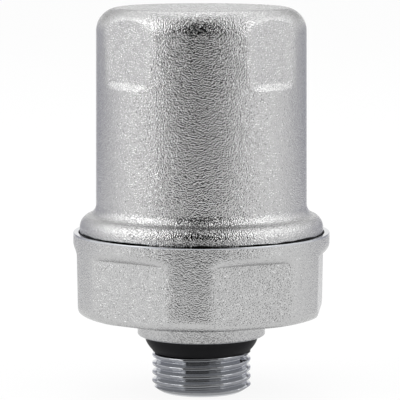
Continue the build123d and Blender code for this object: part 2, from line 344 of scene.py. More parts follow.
def add_node(tree, kind, inputs=(), **settings):
    """Adds a node with its settings, and fills its inputs with values or links."""
    node = tree.nodes.new(kind)
    node.location = (180 * len(tree.nodes), 0)
    for name, value in settings.items():
        setattr(node, name, value)
    for key, value in dict(inputs).items():
        if isinstance(value, bpy.types.NodeSocket):
            tree.links.new(value, node.inputs[key])
        else:
            node.inputs[key].default_value = value
    return node


def new_material(name):
    """An empty node material with its output and its Object coordinates."""
    material = bpy.data.materials.new(name)
    material.use_nodes = True
    tree = material.node_tree
    tree.nodes.clear()
    output = add_node(tree, "ShaderNodeOutputMaterial")
    place = add_node(tree, "ShaderNodeTexCoord").outputs["Object"]
    return material, tree, output, place


def satin_chrome_on_blasted_forging(colours, name, bump, roughness):
    """Chrome plate over a shot-blasted brass forging.

    The blasting leaves small dents about a third of a millimetre wide, which break the reflections
    into a sparkling grain, and the forging under it is slightly uneven over a few millimetres. A dark
    band is painted into the colour at the foot of the cap's flange, along the seam with the rim, reaching higher in
    some places.
    """
    patch = 6 * MM
    dent = 0.24 * MM
    unevenness = 4.5 * MM
    material, tree, output, place = new_material(name)
    dents = add_node(
        tree, "ShaderNodeTexNoise", {"Vector": place, "Scale": 1 / dent, "Detail": 0.0}
    )
    waves = add_node(
        tree, "ShaderNodeTexNoise", {"Vector": place, "Scale": 1 / unevenness, "Detail": 1.0}
    )
    wavy = add_node(
        tree, "ShaderNodeBump", {"Strength": 1.0, "Distance": 0.05 * MM, "Height": waves.outputs["Fac"]}
    )
    dented = add_node(
        tree,
        "ShaderNodeBump",
        {
            "Strength": 1.0,
            "Distance": bump * MM,
            "Height": dents.outputs["Fac"],
            "Normal": wavy.outputs["Normal"],
        },
    )
    spot = add_node(tree, "ShaderNodeSeparateXYZ", {"Vector": place})
    patches = add_node(
        tree, "ShaderNodeTexNoise", {"Vector": place, "Scale": 1 / patch, "Detail": 1.0}
    )
    # A dark band is painted into the colour along the seam between the flange and the rim; its top edge wanders with
    # these patches
    dark_band_top = add_node(
        tree,
        "ShaderNodeMapRange",
        {
            "Value": patches.outputs["Fac"],
            "From Min": 0.35,
            "From Max": 0.65,
            "To Min": RIM_TOP + 0.1 * MM,
            "To Max": RIM_TOP + 0.4 * MM,
        },
    )
    under = add_node(
        tree,
        "ShaderNodeMath",
        {0: dark_band_top.outputs["Result"], 1: spot.outputs["Z"]},
        operation="SUBTRACT",
    )
    out = add_node(
        tree, "ShaderNodeVectorMath", {0: place, 1: (1, 1, 0)}, operation="MULTIPLY"
    )
    reach = add_node(tree, "ShaderNodeVectorMath", {0: out.outputs["Vector"]}, operation="LENGTH")
    inside_rim = add_node(
        tree,
        "ShaderNodeMath",
        {0: reach.outputs["Value"], 1: FLANGE_RADIUS + 0.2 * MM},
        operation="LESS_THAN",
    )
    dark_band_edge = add_node(
        tree, "ShaderNodeMapRange", {"Value": under.outputs[0], "From Min": 0.0, "From Max": 0.1 * MM}
    )
    above_seat = add_node(
        tree, "ShaderNodeMath", {0: spot.outputs["Z"], 1: RIM_TOP - 2 * MM}, operation="GREATER_THAN"
    )
    in_seam = add_node(
        tree, "ShaderNodeMath", {0: inside_rim.outputs[0], 1: above_seat.outputs[0]}, operation="MULTIPLY"
    )
    dark_band = add_node(
        tree, "ShaderNodeMath", {0: dark_band_edge.outputs["Result"], 1: in_seam.outputs[0]}, operation="MULTIPLY"
    )
    # The chrome colour turns nearly black inside that painted dark band
    plate = add_node(
        tree,
        "ShaderNodeMix",
        {"Factor": dark_band.outputs[0], "A": (*colours.chrome, 1), "B": (0.004, 0.004, 0.004, 1)},
        data_type="RGBA",
    )
    gloss = add_node(
        tree,
        "ShaderNodeMapRange",
        {"Value": dents.outputs["Fac"], "From Min": 0.3, "From Max": 0.7, "To Min": roughness - 0.04, "To Max": roughness + 0.04},
    )
    shader = add_node(
        tree,
        "ShaderNodeBsdfPrincipled",
        {
            "Base Color": plate.outputs["Result"],
            "Metallic": 1.0,
            "Roughness": gloss.outputs["Result"],
            "Normal": dented.outputs["Normal"],
        },
    )
    tree.links.new(shader.outputs["BSDF"], output.inputs["Surface"])
    return material


def bright_chrome_on_turned_brass(colours):
    """Chrome plate over lathe-turned brass: mirror bright, with fine turning lines round the axis."""
    line = 0.16 * MM
    material, tree, output, place = new_material("bright_chrome_on_turned_brass")
    height = add_node(tree, "ShaderNodeSeparateXYZ", {"Vector": place}).outputs["Z"]
    rows = add_node(tree, "ShaderNodeCombineXYZ", {"X": 0.0, "Y": 0.0, "Z": height})
    lines = add_node(
        tree, "ShaderNodeTexNoise", {"Vector": rows.outputs["Vector"], "Scale": 1 / line, "Detail": 2.0}
    )
    bump = add_node(
        tree, "ShaderNodeBump", {"Strength": 1.0, "Distance": 0.002 * MM, "Height": lines.outputs["Fac"]}
    )
    shader = add_node(
        tree,
        "ShaderNodeBsdfPrincipled",
        {
            "Base Color": (*colours.bright_chrome, 1),
            "Metallic": 1.0,
            "Roughness": 0.08,
            "Normal": bump.outputs["Normal"],
        },
    )
    tree.links.new(shader.outputs["BSDF"], output.inputs["Surface"])
    return material


def turned_brass(colours):
    """Bare turned brass inside the housing: warm and semi-bright, with tool lines round the axis."""
    line = 0.2 * MM
    material, tree, output, place = new_material("turned_brass")
    height = add_node(tree, "ShaderNodeSeparateXYZ", {"Vector": place}).outputs["Z"]
    rows = add_node(tree, "ShaderNodeCombineXYZ", {"X": 0.0, "Y": 0.0, "Z": height})
    lines = add_node(
        tree, "ShaderNodeTexNoise", {"Vector": rows.outputs["Vector"], "Scale": 1 / line, "Detail": 2.0}
    )
    bump = add_node(
        tree, "ShaderNodeBump", {"Strength": 1.0, "Distance": 0.006 * MM, "Height": lines.outputs["Fac"]}
    )
    shader = add_node(
        tree,
        "ShaderNodeBsdfPrincipled",
        {
            "Base Color": (*colours.brass, 1),
            "Metallic": 1.0,
            "Roughness": 0.28,
            "Normal": bump.outputs["Normal"],
        },
    )
    tree.links.new(shader.outputs["BSDF"], output.inputs["Surface"])
    return material


def moulded_rubber(colours, name, grain, roughness):
    """Black moulded rubber: matt, with a faint mould grain and a thin pale bloom."""
    material, tree, output, place = new_material(name)
    specks = add_node(
        tree, "ShaderNodeTexNoise", {"Vector": place, "Scale": 1 / grain, "Detail": 3.0, "Roughness": 0.6}
    )
    bump = add_node(
        tree, "ShaderNodeBump", {"Strength": 1.0, "Distance": 0.015 * MM, "Height": specks.outputs["Fac"]}
    )
    bloom = add_node(
        tree,
        "ShaderNodeMix",
        {
            "Factor": specks.outputs["Fac"],
            "A": (*[c * 0.8 for c in colours.rubber], 1),
            "B": (*[c * 1.3 for c in colours.rubber], 1),
        },
        data_type="RGBA",
    )
    shader = add_node(
        tree,
        "ShaderNodeBsdfPrincipled",
        {
            "Base Color": bloom.outputs["Result"],
            "Roughness": roughness,
            "Specular IOR Level": 0.12,
            "Normal": bump.outputs["Normal"],
        },
    )
    tree.links.new(shader.outputs["BSDF"], output.inputs["Surface"])
    return material


def drawn_spring_wire(colours):
    """Drawn steel wire: grey, semi-bright, with fine streaks left by the die."""
    streak = 0.25 * MM
    material, tree, output, place = new_material("drawn_spring_wire")
    streaks = add_node(
        tree, "ShaderNodeTexNoise", {"Vector": place, "Scale": 1 / streak, "Detail": 3.0, "Distortion": 0.6}
    )
    bump = add_node(
        tree, "ShaderNodeBump", {"Strength": 1.0, "Distance": 0.006 * MM, "Height": streaks.outputs["Fac"]}
    )
    shader = add_node(
        tree,
        "ShaderNodeBsdfPrincipled",
        {
            "Base Color": (*colours.steel, 1),
            "Metallic": 1.0,
            "Roughness": 0.32,
            "Normal": bump.outputs["Normal"],
        },
    )
    tree.links.new(shader.outputs["BSDF"], output.inputs["Surface"])
    return material


def machined_acetal(colours):
    """Natural acetal: milky and waxy, with a fine turned surface."""
    line = 0.3 * MM
    material, tree, output, place = new_material("machined_acetal")
    lines = add_node(
        tree, "ShaderNodeTexNoise", {"Vector": place, "Scale": 1 / line, "Detail": 2.0, "Roughness": 0.5}
    )
    bump = add_node(
        tree, "ShaderNodeBump", {"Strength": 1.0, "Distance": 0.008 * MM, "Height": lines.outputs["Fac"]}
    )
    shader = add_node(
        tree,
        "ShaderNodeBsdfPrincipled",
        {
            "Base Color": (*colours.acetal, 1),
            "Roughness": 0.38,
            "Subsurface Weight": 0.15,
            "Subsurface Radius": (1.2 * MM, 1.0 * MM, 0.8 * MM),
            "Normal": bump.outputs["Normal"],
        },
    )
    tree.links.new(shader.outputs["BSDF"], output.inputs["Surface"])
    return material


def material_once(maker, colours, *words):
    """The material that a maker gives, made only the first time it is needed."""
    known = maker.__name__ if not words else words[0]
    return bpy.data.materials.get(known) or maker(colours, *words)


def node_group(name, inputs):
    """A Geometry Nodes tree with named inputs, each given as (name, socket kind)."""
    tree = bpy.data.node_groups.new(name, "GeometryNodeTree")
    tree.interface.new_socket("Geometry", in_out="OUTPUT", socket_type="NodeSocketGeometry")
    for label, kind in inputs:
        tree.interface.new_socket(label, in_out="INPUT", socket_type=kind)
    return tree, add_node(tree, "NodeGroupInput"), add_node(tree, "NodeGroupOutput")


def baked(name, tree, values):
    """A plain mesh object made by a Geometry Nodes tree, with its inputs set by their sockets' identifiers."""
    holder = bpy.data.objects.new(name + "_nodes", bpy.data.meshes.new(name + "_nodes"))
    bpy.context.scene.collection.objects.link(holder)
    modifier = holder.modifiers.new("Build", "NODES")
    modifier.node_group = tree
    for item in tree.interface.items_tree:
        if item.in_out == "INPUT" and item.name in values:
            modifier[item.identifier] = values[item.name]
    graph = bpy.context.evaluated_depsgraph_get()
    mesh = bpy.data.meshes.new_from_object(holder.evaluated_get(graph), depsgraph=graph)
    holder.modifiers.remove(modifier)
    bpy.data.objects.remove(holder)
    skin = bmesh.new()
    skin.from_mesh(mesh)
    bpy.data.meshes.remove(mesh)
    return finished(name, skin)


def thread_tree():
    """Tree of the threaded nipple: a grid bent round the axis, whose radius follows the ridges.

    Its rows run from the port's chamfer over the end face, up the thread, back to the port and down.
    """
    tree, given, result = node_group(
        "threaded_nipple",
        (
            ("Crest Radius", "NodeSocketFloat"),
            ("Pitch", "NodeSocketFloat"),
            ("Depth", "NodeSocketFloat"),
            ("Groove Narrowing", "NodeSocketFloat"),
            ("Length", "NodeSocketFloat"),
            ("Lead Height", "NodeSocketFloat"),
            ("Lead Depth", "NodeSocketFloat"),
            ("First Crest", "NodeSocketFloat"),
            ("Notch Turn", "NodeSocketFloat"),
            ("Notch Width", "NodeSocketFloat"),
            ("Notch Height", "NodeSocketFloat"),
            ("Port Radius", "NodeSocketFloat"),
            ("Port Chamfer", "NodeSocketFloat"),
            ("Steps Round", "NodeSocketInt"),
            ("Rows", "NodeSocketInt"),
            ("Material", "NodeSocketMaterial"),
        ),
    )
    value = given.outputs

    def compute(operation, *terms):
        return add_node(tree, "ShaderNodeMath", dict(enumerate(terms)), operation=operation).outputs[0]

    def choose(condition, yes, no):
        return add_node(
            tree, "GeometryNodeSwitch", {"Switch": condition, "False": no, "True": yes}, input_type="FLOAT"
        ).outputs[0]

    columns = compute("ADD", value["Steps Round"], 1.0)
    grid = add_node(
        tree,
        "GeometryNodeMeshGrid",
        {"Size X": 1.0, "Size Y": 1.0, "Vertices X": columns, "Vertices Y": value["Rows"]},
    )
    spot = add_node(
        tree,
        "ShaderNodeSeparateXYZ",
        {"Vector": add_node(tree, "GeometryNodeInputPosition").outputs["Position"]},
    )
    turn = compute("MULTIPLY", compute("ADD", spot.outputs["X"], 0.5), 2 * math.pi)
    last_row = compute("SUBTRACT", value["Rows"], 1.0)
    row = compute("ROUND", compute("MULTIPLY", compute("ADD", spot.outputs["Y"], 0.5), last_row))
    on_chamfer = compute("COMPARE", row, 1.0, 0.1)
    at_start = compute("LESS_THAN", row, 0.5)
    at_end = compute("GREATER_THAN", row, compute("SUBTRACT", last_row, 0.5))
    at_top = compute("GREATER_THAN", row, compute("SUBTRACT", last_row, 1.5))

    thread_rows = compute("SUBTRACT", last_row, 4.0)
    share = compute("DIVIDE", compute("SUBTRACT", row, 2.0), thread_rows)
    clamped = add_node(tree, "ShaderNodeClamp", {"Value": share, "Min": 0.0, "Max": 1.0}).outputs[0]
    rising = compute("MULTIPLY", clamped, value["Length"])
    closing = compute("MAXIMUM", at_start, at_end)
    height = choose(closing, value["Port Chamfer"], choose(on_chamfer, 0.0, rising))

    ridge = compute("DIVIDE", compute("SUBTRACT", height, value["First Crest"]), value["Pitch"])
    phase = compute("SUBTRACT", compute("MULTIPLY", ridge, 2 * math.pi), turn)
    below_crest = compute("SUBTRACT", 1.0, compute("COSINE", phase))
    groove = compute("POWER", compute("MULTIPLY", below_crest, 0.5), value["Groove Narrowing"])
    threaded = compute("SUBTRACT", value["Crest Radius"], compute("MULTIPLY", groove, value["Depth"]))
    lead_left = compute(
        "MAXIMUM", compute("SUBTRACT", 1.0, compute("DIVIDE", height, value["Lead Height"])), 0.0
    )
    lead = compute("SUBTRACT", value["Crest Radius"], compute("MULTIPLY", lead_left, value["Lead Depth"]))
    off_notch = compute("PINGPONG", compute("SUBTRACT", turn, value["Notch Turn"]), math.pi)
    in_notch = compute("LESS_THAN", off_notch, value["Notch Width"])
    high_up = compute("GREATER_THAN", height, value["Notch Height"])
    notch = compute("MULTIPLY", compute("MULTIPLY", in_notch, high_up), value["Depth"])
    ridged = compute("SUBTRACT", threaded, notch)
    outside = compute("MINIMUM", ridged, lead)
    mouth = compute("ADD", value["Port Radius"], value["Port Chamfer"])
    inside = compute("MAXIMUM", closing, at_top)
    radius = choose(inside, value["Port Radius"], choose(on_chamfer, mouth, outside))

    bent = add_node(
        tree,
        "ShaderNodeCombineXYZ",
        {
            "X": compute("MULTIPLY", radius, compute("COSINE", turn)),
            "Y": compute("MULTIPLY", radius, compute("SINE", turn)),
            "Z": height,
        },
    )
    placed = add_node(
        tree,
        "GeometryNodeSetPosition",
        {"Geometry": grid.outputs["Mesh"], "Position": bent.outputs["Vector"]},
    )
    closed = add_node(
        tree, "GeometryNodeMergeByDistance", {"Geometry": placed.outputs["Geometry"], "Distance": 0.001 * MM}
    )
    real = add_node(tree, "GeometryNodeRealizeInstances", {"Geometry": closed.outputs["Geometry"]})
    painted = add_node(
        tree,
        "GeometryNodeSetMaterial",
        {"Geometry": real.outputs["Geometry"], "Material": value["Material"]},
    )
    tree.links.new(painted.outputs["Geometry"], result.inputs["Geometry"])
    return tree


def spring_tree():
    """Tree of the spring: a line of points wound up the axis, with closed ends, swept by the wire."""
    tree, given, result = node_group(
        "wound_spring",
        (
            ("Wire Radius", "NodeSocketFloat"),
            ("Coil Radius", "NodeSocketFloat"),
            ("Low", "NodeSocketFloat"),
            ("High", "NodeSocketFloat"),
            ("Active Turns", "NodeSocketFloat"),
            ("End Turns", "NodeSocketFloat"),
            ("End Height", "NodeSocketFloat"),
            ("Steps", "NodeSocketInt"),
            ("Material", "NodeSocketMaterial"),
        ),
    )
    value = given.outputs

    def compute(operation, *terms):
        return add_node(tree, "ShaderNodeMath", dict(enumerate(terms)), operation=operation).outputs[0]

    points = add_node(tree, "GeometryNodeMeshLine", {"Count": value["Steps"]})
    index = add_node(tree, "GeometryNodeInputIndex").outputs["Index"]
    share = compute("DIVIDE", index, compute("SUBTRACT", value["Steps"], 1.0))
    turns = compute("ADD", value["Active Turns"], compute("MULTIPLY", value["End Turns"], 2.0))
    wound = compute("MULTIPLY", share, turns)
    turn = compute("MULTIPLY", wound, 2 * math.pi)
    low_turns = compute("MINIMUM", wound, value["End Turns"])
    past_active = compute("SUBTRACT", wound, compute("ADD", value["End Turns"], value["Active Turns"]))
    high_turns = compute("MAXIMUM", past_active, 0.0)
    open_turns = compute("SUBTRACT", compute("SUBTRACT", wound, low_turns), high_turns)
    end_pitch = compute("DIVIDE", value["End Height"], value["End Turns"])
    span = compute("SUBTRACT", value["High"], value["Low"])
    open_height = compute("SUBTRACT", span, compute("MULTIPLY", value["End Height"], 2.0))
    open_pitch = compute("DIVIDE", open_height, value["Active Turns"])
    closed_rise = compute("MULTIPLY", compute("ADD", low_turns, high_turns), end_pitch)
    open_rise = compute("MULTIPLY", open_turns, open_pitch)
    height = compute("ADD", value["Low"], compute("ADD", closed_rise, open_rise))
    wound_spot = add_node(
        tree,
        "ShaderNodeCombineXYZ",
        {
            "X": compute("MULTIPLY", value["Coil Radius"], compute("COSINE", turn)),
            "Y": compute("MULTIPLY", value["Coil Radius"], compute("SINE", turn)),
            "Z": height,
        },
    )
    coiled = add_node(
        tree,
        "GeometryNodeSetPosition",
        {"Geometry": points.outputs["Mesh"], "Position": wound_spot.outputs["Vector"]},
    )
    path = add_node(tree, "GeometryNodeMeshToCurve", {"Mesh": coiled.outputs["Geometry"]})
    section = add_node(
        tree, "GeometryNodeCurvePrimitiveCircle", {"Resolution": 14, "Radius": value["Wire Radius"]}
    )
    wire = add_node(
        tree,
        "GeometryNodeCurveToMesh",
        {"Curve": path.outputs["Curve"], "Profile Curve": section.outputs["Curve"], "Fill Caps": True},
    )
    spot = add_node(
        tree,
        "ShaderNodeSeparateXYZ",
        {"Vector": add_node(tree, "GeometryNodeInputPosition").outputs["Position"]},
    )
    ground = compute("MINIMUM", compute("MAXIMUM", spot.outputs["Z"], value["Low"]), value["High"])
    flat_ends = add_node(
        tree,
        "ShaderNodeCombineXYZ",
        {"X": spot.outputs["X"], "Y": spot.outputs["Y"], "Z": ground},
    )
    cut = add_node(
        tree,
        "GeometryNodeSetPosition",
        {"Geometry": wire.outputs["Mesh"], "Position": flat_ends.outputs["Vector"]},
    )
    real = add_node(tree, "GeometryNodeRealizeInstances", {"Geometry": cut.outputs["Geometry"]})
    painted = add_node(
        tree,
        "GeometryNodeSetMaterial",
        {"Geometry": real.outputs["Geometry"], "Material": value["Material"]},
    )
    tree.links.new(painted.outputs["Geometry"], result.inputs["Geometry"])
    return tree


class ARRESTOR_OT_thread(bpy.types.Operator):
    """Builds the threaded connection nipple with its water port"""

    bl_idname = "arrestor.thread"
    bl_label = "Connection Thread"

    def execute(self, context):
        settings = context.scene.arrestor
        sizes = settings.thread
        chrome = material_once(bright_chrome_on_turned_brass, settings.finish)
        piece = baked(
            "connection_thread",
            thread_tree(),
            {
                "Crest Radius": sizes.crest_diameter / 2,
                "Pitch": sizes.pitch,
                "Depth": sizes.depth,
                "Groove Narrowing": sizes.narrowing,
                "Length": sizes.height,
                "Lead Height": sizes.lead_height,
                "Lead Depth": sizes.lead_depth,
                "First Crest": sizes.first_crest,
                "Notch Turn": sizes.notch_turn,
                "Notch Width": sizes.notch_width / sizes.crest_diameter,
                "Notch Height": sizes.notch_height,
                "Port Radius": sizes.port_diameter / 2,
                "Port Chamfer": sizes.port_chamfer,
                "Steps Round": sizes.steps_round,
                "Rows": sizes.steps_up + 5,
                "Material": chrome,
            },
        )
        dressed(piece, HOUSING, ["lower_body"], [chrome])
        return {"FINISHED"}


class ARRESTOR_OT_body(bpy.types.Operator):
    """Builds the forged lower body with its collar, wrench flats and chamber"""

    bl_idname = "arrestor.body"
    bl_label = "Lower Body"

    def execute(self, context):
        settings = context.scene.arrestor
        sizes = settings.body
        port = settings.thread.port_diameter / 2
        nipple_top = settings.thread.height
        slope = math.tan(sizes.draft)
        neck = sizes.neck_diameter / 2
        collar = sizes.collar_diameter / 2
        corner_top = sizes.drum_bottom + sizes.corner_radius
        foot = DRUM_RADIUS - (sizes.ledge_height - corner_top) * slope
        corner_centre = (foot - sizes.corner_radius, corner_top)
        ledge_run = DRUM_RADIUS - sizes.flat_depth - (DRUM_RADIUS - sizes.ledge_radius)
        ledge_rise = math.sqrt(sizes.ledge_radius**2 - ledge_run**2)
        ledge_top = sizes.ledge_height + ledge_rise
        edge = sizes.rim_edge
        recess = sizes.recess_diameter / 2
        pocket = sizes.pocket_diameter / 2
        joint = sizes.joint_diameter / 2
        outline = [
            (port, nipple_top),
            (neck, nipple_top),
            (neck, sizes.collar_bottom),
            *straight((neck, sizes.collar_bottom), (collar - sizes.collar_edge, sizes.collar_bottom), 4)[1:],
            *arc((collar - sizes.collar_edge, sizes.collar_bottom + sizes.collar_edge), sizes.collar_edge, -90, 0, 8),
            *straight((collar, sizes.collar_bottom + sizes.collar_edge), (collar, sizes.drum_bottom), 8)[1:],
            *straight((collar, sizes.drum_bottom), (corner_centre[0], sizes.drum_bottom), 14),
            *arc(corner_centre, sizes.corner_radius, -90, 0, 20),
            *straight((foot, corner_top), (DRUM_RADIUS, sizes.ledge_height), 26)[1:],
        ]
        for i in range(15):
            rise = ledge_rise * math.sin(math.pi / 2 * i / 14)
            outline.append((DRUM_RADIUS, ledge_top - ledge_rise + ledge_rise - math.sqrt(max(ledge_rise**2 - rise**2, 0))))
        outline += [
            (DRUM_RADIUS, RIM_TOP - sizes.rim_land),
            (DRUM_RADIUS, RIM_TOP - 1.3 * edge),
            *arc((DRUM_RADIUS - edge, RIM_TOP - edge), edge, 0, 90, 5),
            *arc((recess + edge, RIM_TOP - edge), edge, 90, 180, 5),
            (recess, sizes.seat_height),
            (pocket, sizes.seat_height),
            (pocket, sizes.pocket_floor),
            (joint, sizes.pocket_floor),
            (joint, sizes.floor_height),
            (port, sizes.floor_height),
        ]

        def plane_at(height):
            """Distance of a flat's face from the axis at this height, with its rounded foot."""
            face = DRUM_RADIUS - sizes.flat_depth
            face -= max(sizes.ledge_height - height, 0) * slope
            below = sizes.drum_bottom + sizes.flat_edge - height
            if below <= 0:
                return face
            below = min(below, sizes.flat_edge)
            return face - sizes.flat_edge + math.sqrt(sizes.flat_edge**2 - below**2)

        def share_at(height):
            """1 on the flats, falling to 0 where the rim's rounding ends above the ledge."""
            if height <= sizes.ledge_height + TINY:
                return 1.0
            if height >= ledge_top:
                return 0.0
            reach = math.sqrt(sizes.ledge_radius**2 - (ledge_top - height) ** 2)
            return (sizes.ledge_radius - reach) / sizes.flat_depth

        def shape(radius, height, turn):
            """Radius of the drum with its flats cut into it."""
            outside = height > sizes.drum_bottom - TINY and radius > collar + MM and height < ledge_top
            if not outside:
                return radius
            off = off_flat(turn, sizes.flats, sizes.flat_turn)
            cut = soft_cut(radius, plane_at(height) / math.cos(off), sizes.flat_blend)
            return radius - share_at(height) * cut

        piece = turned("forged_body", outline, 288, shape)
        forged = material_once(
            satin_chrome_on_blasted_forging, settings.finish, "satin_chrome_on_blasted_body", 0.14, 0.24
        )
        chrome = material_once(bright_chrome_on_turned_brass, settings.finish)
        brass = material_once(turned_brass, settings.finish)

        def finish(radius, height):
            """0 is the forged outside, 1 the turned and plated neck, 2 the bare inside."""
            in_chamber = height > sizes.floor_height - TINY and radius < pocket + TINY
            if radius < port + TINY or in_chamber:
                return 2
            if height > sizes.seat_height - TINY and radius < recess + TINY:
                return 0
            turned_rim = height > RIM_TOP - sizes.rim_land
            return 1 if turned_rim or height < sizes.collar_bottom + sizes.collar_edge / 2 else 0

        dressed(piece, HOUSING, ["lower_body"], [forged, chrome, brass], finish)
        return {"FINISHED"}


class ARRESTOR_OT_cap(bpy.types.Operator):
    """Builds the forged cap with its flange, grip flats and cylinder bore"""

    bl_idname = "arrestor.cap"
    bl_label = "Upper Cap"

    def execute(self, context):
        settings = context.scene.arrestor
        sizes = settings.cap
        slope = math.tan(sizes.draft)
        foot = sizes.foot_diameter / 2
        shoulder_height = sizes.seat_height + sizes.flange_height
        shoulder = FLANGE_RADIUS - sizes.flange_edge
        reach = sizes.flange_edge + sizes.flange_root
        run = foot + sizes.flange_root - shoulder
        rise = math.sqrt(reach**2 - run**2)
        bend = math.degrees(math.atan2(rise, run))
        root_centre = (foot + sizes.flange_root, shoulder_height + rise)
        top_z = CAP_TOP
        wall_top = top_z - sizes.top_radius
        wall_radius = foot - (wall_top - root_centre[1]) * slope
        run_out_top = top_z - sizes.run_out
        run_out_low = run_out_top - sizes.run_out_height
        top_edge = wall_radius - sizes.top_radius
        bore = sizes.bore_diameter / 2
        boss = sizes.boss_diameter / 2
        boss_low = ROOF - sizes.boss_height
        skirt = sizes.skirt_diameter / 2

        def wall_at(height):
            """The wall's radius at this height."""
            return foot - (height - root_centre[1]) * slope

        outline = [
            *straight((0, top_z), (top_edge, top_z), 14),
            *arc((top_edge, wall_top), sizes.top_radius, 90, 0, 30),
            *straight((wall_radius, wall_top), (wall_at(run_out_top), run_out_top), 26)[1:],
            *straight((wall_at(run_out_top), run_out_top), (wall_at(run_out_low), run_out_low), 20),
            *straight((wall_at(run_out_low), run_out_low), (foot, root_centre[1]), 30),
            *arc(root_centre, sizes.flange_root, 180, 180 + bend, 14),
            *arc((shoulder, shoulder_height), sizes.flange_edge, bend, 0, 16)[1:],
            *straight((FLANGE_RADIUS, shoulder_height), (FLANGE_RADIUS, sizes.seat_height + 0.3 * MM), 6)[1:],
            (FLANGE_RADIUS, sizes.seat_height + 0.3 * MM),
            (FLANGE_RADIUS - 0.3 * MM, sizes.seat_height),
            (skirt, sizes.seat_height),
            (skirt, SKIRT_END),
            (bore + 0.8 * MM, SKIRT_END),
            (bore, SKIRT_END + 1.6 * MM),
            (bore, ROOF - 1.5 * MM),
            (bore - 1.5 * MM, ROOF),
            (boss, ROOF),
            (boss, boss_low + 0.8 * MM),
            (boss - 0.8 * MM, boss_low),
            (0, boss_low),
        ]

        def shape(radius, height, turn):
            """Radius of the cap with its grip flats cut into it."""
            if radius < bore + MM and height < top_z - sizes.roof_thickness + MM or height < run_out_low:
                return radius
            off = off_flat(turn, sizes.flats, sizes.flat_turn)
            plane = wall_radius - sizes.flat_depth + (top_z - height) * math.tan(sizes.flat_draft)
            cut = soft_cut(radius, plane / math.cos(off), sizes.flat_blend)
            share = min((height - run_out_low) / sizes.run_out_height, 1.0)
            return radius - cut * share * share * (3 - 2 * share)

        piece = turned("forged_cap", outline, 288, shape)
        forged = material_once(
            satin_chrome_on_blasted_forging, settings.finish, "satin_chrome_on_blasted_cap", 0.14, 0.16
        )
        brass = material_once(turned_brass, settings.finish)

        def finish(radius, height):
            """0 is the forged outside, 1 the turned skirt and bore."""
            inside = radius < bore + TINY and height < ROOF + TINY
            return 1 if inside or height < sizes.seat_height + TINY else 0

        dressed(piece, HOUSING, ["upper_cap"], [forged, brass], finish)
        return {"FINISHED"}


class ARRESTOR_OT_seal(bpy.types.Operator):
    """Builds the tapered rubber seal between the thread and the collar"""

    bl_idname = "arrestor.seal"
    bl_label = "Connection Seal"

    def execute(self, context):
        settings = context.scene.arrestor
        sizes = settings.seal
        inner = sizes.neck_diameter / 2
        lower = sizes.lower_diameter / 2
        edge = sizes.edge
        rise = SEAL_HIGH - SEAL_LOW
        flank = []
        for i in range(13):
            share = i / 12
            radius = lower + (SEAL_RADIUS - lower) * share + 4 * sizes.bulge * share * (1 - share)
            flank.append((radius, SEAL_LOW + edge + (rise - 2 * edge) * share))
        outline = [
            (inner, SEAL_LOW),
            *arc((lower - edge, SEAL_LOW + edge), edge, -90, -10, 5),
            *flank[1:-1],
            *arc((SEAL_RADIUS - edge, SEAL_HIGH - edge), edge, 0, 90, 5),
            (inner, SEAL_HIGH),
        ]
        piece = turned("tapered_seal", outline, 160)
        rubber = material_once(moulded_rubber, settings.finish, "moulded_seal_rubber", 0.3 * MM, 0.5)
        dressed(piece, HOUSING, ["connection_seal"], [rubber])
        return {"FINISHED"}


class ARRESTOR_OT_rings(bpy.types.Operator):
    """Builds the joint's O-ring and the piston's two O-rings"""

    bl_idname = "arrestor.rings"
    bl_label = "O-rings"

    def execute(self, context):
        settings = context.scene.arrestor
        sizes = settings.rings
        rubber = material_once(moulded_rubber, settings.finish, "moulded_o_ring_rubber", 0.2 * MM, 0.36)
        rings = (
            ("joint_o_ring", "body_o_ring", sizes.joint_inner / 2, HOUSING),
            ("lower_ring", "lower_piston_o_ring", sizes.piston_inner / 2, MOVING),
            ("upper_ring", "upper_piston_o_ring", sizes.piston_inner / 2, MOVING),
        )
        for name, node, inner, body in rings:
            low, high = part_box(node)
            outer = high[0]
            middle = ((inner + outer) / 2, (low[2] + high[2]) / 2)
            half = ((outer - inner) / 2, (high[2] - low[2]) / 2)
            power = 2 / sizes.squareness
            outline = []
            for i in range(28):
                turn = 2 * math.pi * i / 28
                across, up = math.cos(turn), math.sin(turn)
                outline.append(
                    (
                        middle[0] + half[0] * math.copysign(abs(across) ** power, across),
                        middle[1] + half[1] * math.copysign(abs(up) ** power, up),
                    )
                )
            piece = turned(name, outline, 144)
            dressed(piece, body, [node], [rubber])
        return {"FINISHED"}


